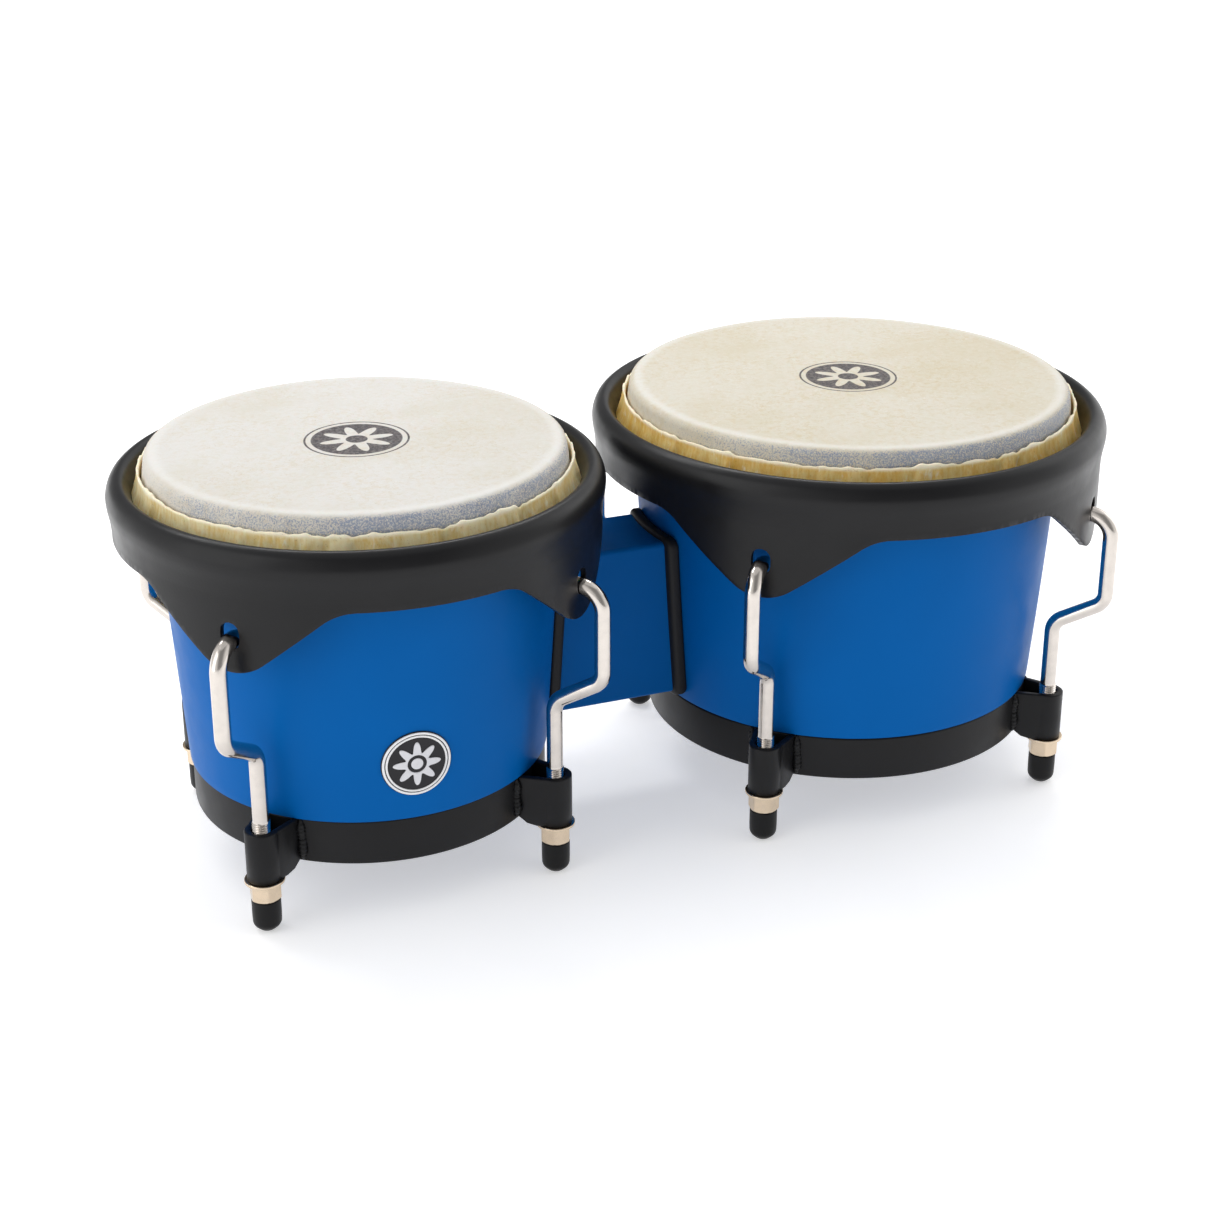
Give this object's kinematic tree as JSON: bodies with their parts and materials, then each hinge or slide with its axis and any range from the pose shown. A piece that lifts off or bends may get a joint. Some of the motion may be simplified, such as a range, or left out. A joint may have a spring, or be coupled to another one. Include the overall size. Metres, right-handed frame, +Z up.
{
  "type": "pair of bongo drums",
  "caption": "Pair of joined bongo drums with blue tapered shells, rawhide heads, curved black rims, hooked tuning lugs, welded lug brackets and rubber foot caps.",
  "frame": {"origin": "on the floor plane below the middle of the pair's bounding box", "axes": "+X from the small drum (macho) to the large drum (hembra), +Z up along both drum axes, the side with the badge facing -Y"},
  "size_m": [0.4136, 0.2136, 0.1696],
  "materials": {
    "shell_blue": "satin",
    "bridge_blue": "satin",
    "rim_black": "satin",
    "ring_black": "satin",
    "lug_nickel": "polished",
    "nut_nickel": "satin",
    "cap_rubber": "matt",
    "gasket_rubber": "matt",
    "skin": "natural",
    "skin_fold": "natural",
    "hoop_steel": "satin",
    "bolt_steel": "satin",
    "badge_metal": "satin"
  },
  "bodies": {
    "root": {"macho_shell": "shell_blue", "macho_head": "skin", "macho_bottom_ring": "ring_black", "macho_lug_brackets": "ring_black", "macho_gasket": "gasket_rubber", "macho_backing_plate": "bolt_steel", "macho_bridge_nuts": "bolt_steel", "macho_washer_1": "nut_nickel", "macho_washer_2": "nut_nickel", "macho_washer_3": "nut_nickel", "macho_washer_4": "nut_nickel", "hembra_shell": "shell_blue", "hembra_head": "skin", "hembra_bottom_ring": "ring_black", "hembra_lug_brackets": "ring_black", "hembra_gasket": "gasket_rubber", "hembra_backing_plate": "bolt_steel", "hembra_bridge_nuts": "bolt_steel", "hembra_washer_1": "nut_nickel", "hembra_washer_2": "nut_nickel", "hembra_washer_3": "nut_nickel", "hembra_washer_4": "nut_nickel", "bridge_block": "bridge_blue", "bridge_rod_lower": "bolt_steel", "bridge_rod_upper": "bolt_steel", "macho_badge": "badge_metal"},
    "macho_tuning": {"macho_rim": "rim_black", "macho_head_collar": "skin_fold", "macho_flesh_hoop": "hoop_steel", "macho_tuning_lug_1": "lug_nickel", "macho_foot_cap_1": "cap_rubber", "macho_tuning_lug_2": "lug_nickel", "macho_foot_cap_2": "cap_rubber", "macho_tuning_lug_3": "lug_nickel", "macho_foot_cap_3": "cap_rubber", "macho_tuning_lug_4": "lug_nickel", "macho_foot_cap_4": "cap_rubber"},
    "macho_nut_1": {"macho_nut_1": "nut_nickel"},
    "macho_nut_2": {"macho_nut_2": "nut_nickel"},
    "macho_nut_3": {"macho_nut_3": "nut_nickel"},
    "macho_nut_4": {"macho_nut_4": "nut_nickel"},
    "hembra_tuning": {"hembra_rim": "rim_black", "hembra_head_collar": "skin_fold", "hembra_flesh_hoop": "hoop_steel", "hembra_tuning_lug_1": "lug_nickel", "hembra_foot_cap_1": "cap_rubber", "hembra_tuning_lug_2": "lug_nickel", "hembra_foot_cap_2": "cap_rubber", "hembra_tuning_lug_3": "lug_nickel", "hembra_foot_cap_3": "cap_rubber", "hembra_tuning_lug_4": "lug_nickel", "hembra_foot_cap_4": "cap_rubber"},
    "hembra_nut_1": {"hembra_nut_1": "nut_nickel"},
    "hembra_nut_2": {"hembra_nut_2": "nut_nickel"},
    "hembra_nut_3": {"hembra_nut_3": "nut_nickel"},
    "hembra_nut_4": {"hembra_nut_4": "nut_nickel"}
  },
  "joints": [
    {"name": "macho_tuning_slide", "type": "slide", "parent": "root", "child": "macho_tuning", "axis": [0, 0, -1], "range_m": [0, 0.005]},
    {"name": "macho_nut_1_turn", "type": "hinge", "parent": "root", "child": "macho_nut_1", "pos_m": [-0.16939, -0.05819, 0.017], "axis": [0, 0, 1], "range_deg": [0, 1805]},
    {"name": "macho_nut_2_turn", "type": "hinge", "parent": "root", "child": "macho_nut_2", "pos_m": [-0.053, -0.05819, 0.017], "axis": [0, 0, 1], "range_deg": [0, 1805]},
    {"name": "macho_nut_3_turn", "type": "hinge", "parent": "root", "child": "macho_nut_3", "pos_m": [-0.053, 0.05819, 0.017], "axis": [0, 0, 1], "range_deg": [0, 1805]},
    {"name": "macho_nut_4_turn", "type": "hinge", "parent": "root", "child": "macho_nut_4", "pos_m": [-0.16939, 0.05819, 0.017], "axis": [0, 0, 1], "range_deg": [0, 1805]},
    {"name": "hembra_tuning_slide", "type": "slide", "parent": "root", "child": "hembra_tuning", "axis": [0, 0, -1], "range_m": [0, 0.005]},
    {"name": "hembra_nut_1_turn", "type": "hinge", "parent": "root", "child": "hembra_nut_1", "pos_m": [0.03417, -0.06583, 0.017], "axis": [0, 0, 1], "range_deg": [0, 1805]},
    {"name": "hembra_nut_2_turn", "type": "hinge", "parent": "root", "child": "hembra_nut_2", "pos_m": [0.16583, -0.06583, 0.017], "axis": [0, 0, 1], "range_deg": [0, 1805]},
    {"name": "hembra_nut_3_turn", "type": "hinge", "parent": "root", "child": "hembra_nut_3", "pos_m": [0.16583, 0.06583, 0.017], "axis": [0, 0, 1], "range_deg": [0, 1805]},
    {"name": "hembra_nut_4_turn", "type": "hinge", "parent": "root", "child": "hembra_nut_4", "pos_m": [0.03417, 0.06583, 0.017], "axis": [0, 0, 1], "range_deg": [0, 1805]}
  ],
  "couplings": [
    {"joint": "macho_nut_1_turn", "follows": "macho_tuning_slide", "rad_per_m": 6283.2},
    {"joint": "macho_nut_2_turn", "follows": "macho_tuning_slide", "rad_per_m": 6283.2},
    {"joint": "macho_nut_3_turn", "follows": "macho_tuning_slide", "rad_per_m": 6283.2},
    {"joint": "macho_nut_4_turn", "follows": "macho_tuning_slide", "rad_per_m": 6283.2},
    {"joint": "hembra_nut_1_turn", "follows": "hembra_tuning_slide", "rad_per_m": 6283.2},
    {"joint": "hembra_nut_2_turn", "follows": "hembra_tuning_slide", "rad_per_m": 6283.2},
    {"joint": "hembra_nut_3_turn", "follows": "hembra_tuning_slide", "rad_per_m": 6283.2},
    {"joint": "hembra_nut_4_turn", "follows": "hembra_tuning_slide", "rad_per_m": 6283.2}
  ]
}
